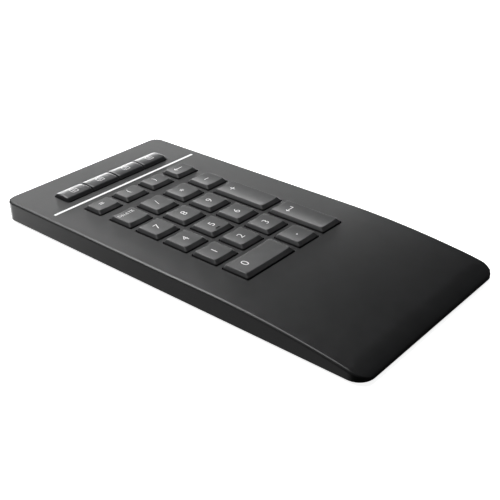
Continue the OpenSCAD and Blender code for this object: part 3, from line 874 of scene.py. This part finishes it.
PAINT = {
    "bottom_case": moulded("bottom_cover_plastic", (0.018, 0.019, 0.02), 0.55, 0.5, 0.03,
                           round_mm=0.2),
    "accent_strip": moulded("strip_white", (0.86, 0.86, 0.86), 0.35, 0.6, 0.003, vary=0.02),
    "key_frame": moulded("frame_plastic", (0.06, 0.062, 0.066), 0.5, 0.5, 0.02, round_mm=0.15),
    "dome_sheet": silicone_material("dome_silicone"),
    "membrane_top": film_material("film_top", (0.62, 0.68, 0.6)),
    "membrane_spacer": film_material("film_spacer", (0.72, 0.75, 0.71)),
    "membrane_bottom": film_material("film_bottom", (0.6, 0.66, 0.58)),
    "back_plate": metal("plate_steel", (0.55, 0.56, 0.58), 0.36),
    "controller_chip": moulded("chip_black", (0.015, 0.015, 0.016), 0.5, 0.15, 0.01, round_mm=0.06),
    "chip_antenna": moulded("antenna_ceramic", (0.75, 0.73, 0.68), 0.5, 0.2, 0.01,
                            vary=0.04, round_mm=0.06),
    "circuit_board": board_material("board_green"),
    "usb_port": metal("port_steel", (0.6, 0.61, 0.63), 0.28),
    "power_switch_body": metal("switch_steel", (0.58, 0.59, 0.6), 0.34),
    "power_switch_knob": moulded("knob_plastic", (0.06, 0.062, 0.066), 0.45, 0.2, 0.01, round_mm=0.12),
    "membrane_connector": moulded("connector_nylon", (0.8, 0.78, 0.72), 0.5, 0.4, 0.01,
                                  vary=0.04, round_mm=0.1),
    "battery": metal("pouch_foil", (0.62, 0.64, 0.66), 0.42, 0.8, (1, 1, 1), 0.3),
    "battery_tape": woven_tape("battery_tape_fibre"),
    "battery_plug": moulded("plug_nylon", (0.78, 0.76, 0.7), 0.5, 0.4, 0.01, vary=0.04, round_mm=0.1),
    "battery_leads": lead_material("lead_insulation"),
}
screw_steel = metal("screw_steel", (0.5, 0.5, 0.52), 0.3)
wire_steel = metal("wire_steel", (0.58, 0.59, 0.6), 0.26, 0.1, (1, 1, 1))
foot_rubber = moulded("foot_rubber", (0.02, 0.02, 0.021), 0.8, 0.4, 0.03, level=0.3, round_mm=0.25)
for name in nodes:
    if name.endswith("_screws"):
        PAINT[name] = screw_steel
    elif name.startswith("stabiliser_"):
        PAINT[name] = wire_steel
    elif name.startswith("foot_"):
        PAINT[name] = foot_rubber
for name, material in PAINT.items():
    mesh = nodes[name].data
    mesh.materials.clear()
    mesh.materials.append(material)


# ---- the pieces ----
def back_wall_cuts():
    """Cutters for the charging socket's hole and the power switch's slot."""
    low, high = box_mm("usb_port")
    mid = (low.z + high.z) / 2
    half = (high.z - low.z) / 2 + PORT_GAP
    hole = rounded(low.x - PORT_GAP, high.x + PORT_GAP, mid - half, mid + half, half * 0.8, 8)
    body_low, body_high = box_mm("power_switch_body")
    knob_low, knob_high = box_mm("power_switch_knob")
    mid = (body_low.x + body_high.x) / 2
    slot = rounded(mid - SLOT_HALF, mid + SLOT_HALF, knob_low.z - SLOT_GAP, knob_high.z + SLOT_GAP, 0.4, 5)
    return [prism_along_y("port_cut", hole, HALF_L - CUT_IN, HALF_L + CUT_OUT),
            prism_along_y("switch_cut", slot, HALF_L - CUT_IN, HALF_L + CUT_OUT)]


def make_shell(materials):
    """The top housing with its cuts, in place of the CAD's."""
    shell = housing_shell(materials)
    cut_away(shell, back_wall_cuts())
    shell.data.set_sharp_from_angle(angle=math.radians(SHELL_SHARP))
    weight_normals(shell)
    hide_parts("top_case")
    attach(shell, "housing")


make_shell([shell_plastic])
for name in CAPS:
    make_cap(name, [cap_plastic, legend_ink])
for name in FUNCTION_KEYS:
    make_function_key(name, [bar_plastic, legend_ink])

# ---- floor, light and camera ----
FLOOR_LIFT = 0.9        # glow of the paper, so that the keypad casts hardly any shadow on it
ROOM_DIM = 0.03         # what the surfaces see of the room above the floor
FLOOR_GLOW = 0.4        # what they see of the floor beside and behind; it fades to nothing at the front
FLOOR_END_GLOW = 3.5    # the same far behind, added

CAMERA_LENS = 63.22
CAMERA_AZIMUTH = -49.74         # degrees from the front, to the left
CAMERA_ELEVATION = 29.45
CAMERA_ROLL = -0.34
CAMERA_TARGET = (-14.87, -21.52, 12.2)      # millimetres
CAMERA_DISTANCE = 0.4154        # metres


def stage_floor():
    """Pale paper under the keypad, which the keypad's own surfaces don't see."""
    mesh = bpy.data.meshes.new("floor")
    reach = 3.0
    mesh.from_pydata([(-reach, -reach, 0), (reach, -reach, 0), (reach, reach, 0), (-reach, reach, 0)], [],
                     [(0, 1, 2, 3)])
    made = Nodes("floor_paper", (0.9, 0.9, 0.9), 0.8)
    made.shader.inputs["Specular IOR Level"].default_value = 0.1
    made.shader.inputs["Emission Color"].default_value = (1, 1, 1, 1)
    made.shader.inputs["Emission Strength"].default_value = FLOOR_LIFT
    made.tint(made.noise(40, 2), (0.89, 0.89, 0.89), (0.91, 0.91, 0.91))
    mesh.materials.append(made.material)
    floor = bpy.data.objects.new("floor", mesh)
    floor.visible_glossy = False
    floor.visible_diffuse = False
    bpy.context.scene.collection.objects.link(floor)


def soft_light(name, azimuth, elevation, distance, width, height, energy):
    """An area light that looks at the keypad from that direction; azimuth 0 is behind, 90 to the right."""
    a, e = math.radians(azimuth), math.radians(elevation)
    away = Vector((math.sin(a) * math.cos(e), math.cos(a) * math.cos(e), math.sin(e)))
    data = bpy.data.lights.new(name, "AREA")
    data.shape = "RECTANGLE"
    data.size = width
    data.size_y = height
    data.energy = energy
    light = bpy.data.objects.new(name, data)
    light.location = away * distance
    light.rotation_mode = "QUATERNION"
    light.rotation_quaternion = away.to_track_quat("Z", "Y")
    light.visible_camera = False
    bpy.context.scene.collection.objects.link(light)


def ramp_node(tree, value, low, high, to_high):
    """Maps a value from low..high to 0..to_high, clamped."""
    node = tree.nodes.new("ShaderNodeMapRange")
    node.inputs["From Min"].default_value = low
    node.inputs["From Max"].default_value = high
    node.inputs["To Max"].default_value = to_high
    tree.links.new(value, node.inputs["Value"])
    return node.outputs["Result"]


def room():
    """White to the camera; to every surface a dim room over a floor that is lit towards the back."""
    world = bpy.data.worlds.new("studio")
    bpy.context.scene.world = world
    world.use_nodes = True
    tree = world.node_tree
    tree.nodes.clear()
    out = tree.nodes.new("ShaderNodeOutputWorld")
    coords = tree.nodes.new("ShaderNodeTexCoord")
    split = tree.nodes.new("ShaderNodeSeparateXYZ")
    tree.links.new(coords.outputs["Generated"], split.inputs["Vector"])
    backwards = ramp_node(tree, split.outputs["Y"], 0.0, 0.4, FLOOR_GLOW)
    far_end = ramp_node(tree, split.outputs["Y"], 0.76, 0.85, FLOOR_END_GLOW)
    both = tree.nodes.new("ShaderNodeMath")
    tree.links.new(backwards, both.inputs[0])
    tree.links.new(far_end, both.inputs[1])
    below = ramp_node(tree, split.outputs["Z"], 0.05, -0.1, 1.0)
    glow = tree.nodes.new("ShaderNodeMath")
    glow.operation = "MULTIPLY_ADD"
    glow.inputs[2].default_value = ROOM_DIM
    tree.links.new(both.outputs["Value"], glow.inputs[0])
    tree.links.new(below, glow.inputs[1])
    seen = tree.nodes.new("ShaderNodeBackground")
    seen.inputs["Color"].default_value = (1, 1, 1, 1)
    tree.links.new(glow.outputs["Value"], seen.inputs["Strength"])
    white = tree.nodes.new("ShaderNodeBackground")
    white.inputs["Color"].default_value = (1, 1, 1, 1)
    white.inputs["Strength"].default_value = 1.0
    path = tree.nodes.new("ShaderNodeLightPath")
    mix = tree.nodes.new("ShaderNodeMixShader")
    tree.links.new(path.outputs["Is Camera Ray"], mix.inputs["Fac"])
    tree.links.new(seen.outputs["Background"], mix.inputs[1])
    tree.links.new(white.outputs["Background"], mix.inputs[2])
    tree.links.new(mix.outputs["Shader"], out.inputs["Surface"])


def studio():
    """The room and its lights."""
    room()
    soft_light("overhead", 5, 60, 1.6, 1.5, 1.5, 36)
    soft_light("back_softbox", 40, 18, 1.4, 1.7, 0.6, 2.1)
    soft_light("horizon_softbox", 48, 4, 1.6, 1.6, 0.24, 16)
    soft_light("edge_softbox", -34, 45, 1.4, 0.16, 0.36, 6)
    bpy.context.scene.view_settings.view_transform = "Standard"


def photo_camera():
    """The camera, from the front left and above."""
    data = bpy.data.cameras.new("camera")
    data.lens = CAMERA_LENS
    data.sensor_width = 36.0
    data.clip_start = 0.02
    data.clip_end = 20
    camera = bpy.data.objects.new("camera", data)
    a, e = math.radians(CAMERA_AZIMUTH), math.radians(CAMERA_ELEVATION)
    back = Vector((math.sin(a) * math.cos(e), -math.cos(a) * math.cos(e), math.sin(e)))
    camera.location = Vector(CAMERA_TARGET) * MM + back * CAMERA_DISTANCE
    camera.rotation_mode = "QUATERNION"
    roll = Quaternion((0, 0, 1), math.radians(CAMERA_ROLL))
    camera.rotation_quaternion = back.to_track_quat("Z", "Y") @ roll
    bpy.context.scene.collection.objects.link(camera)
    bpy.context.scene.camera = camera


stage_floor()
studio()
photo_camera()
